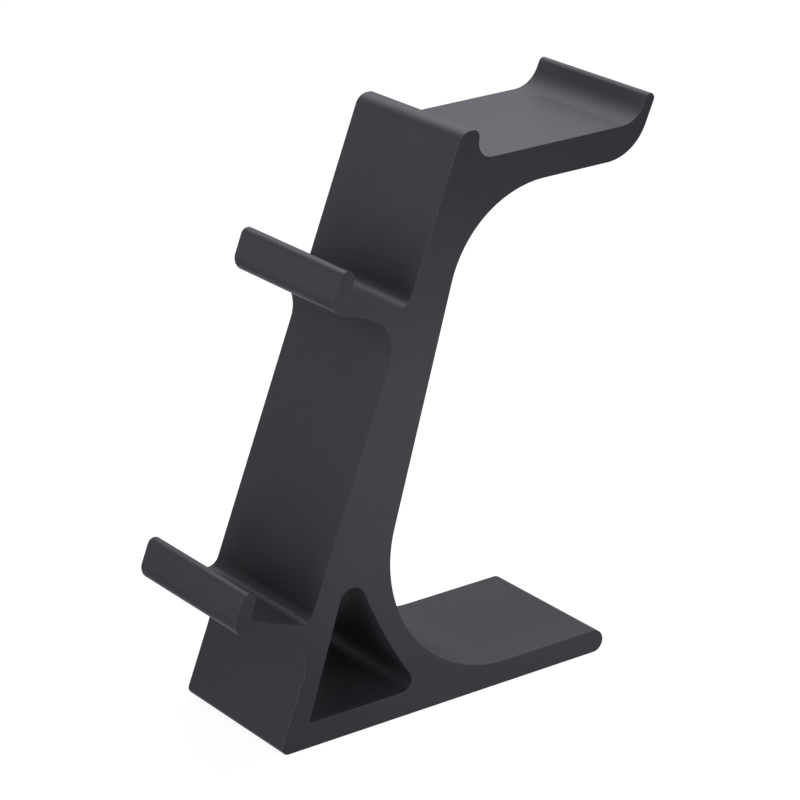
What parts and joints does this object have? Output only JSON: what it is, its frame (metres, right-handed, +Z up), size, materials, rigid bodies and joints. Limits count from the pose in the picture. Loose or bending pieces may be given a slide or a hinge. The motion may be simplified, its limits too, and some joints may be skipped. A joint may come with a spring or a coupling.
{
  "type": "controller stand",
  "caption": "One-piece leaning desk stand: hooked shelves on its front hold game controllers, and a lipped cradle on top holds a headset.",
  "frame": {"origin": "middle of the foot's flat underside", "axes": "+X across the stand's width, +Y from its front, where the hooks are, to its back, +Z up"},
  "size_m": [0.065, 0.1907, 0.2202],
  "materials": {
    "body": "fine matt charcoal plastic with a slight sheen"
  },
  "bodies": {
    "root": {"stand_body": "body"}
  },
  "joints": []
}
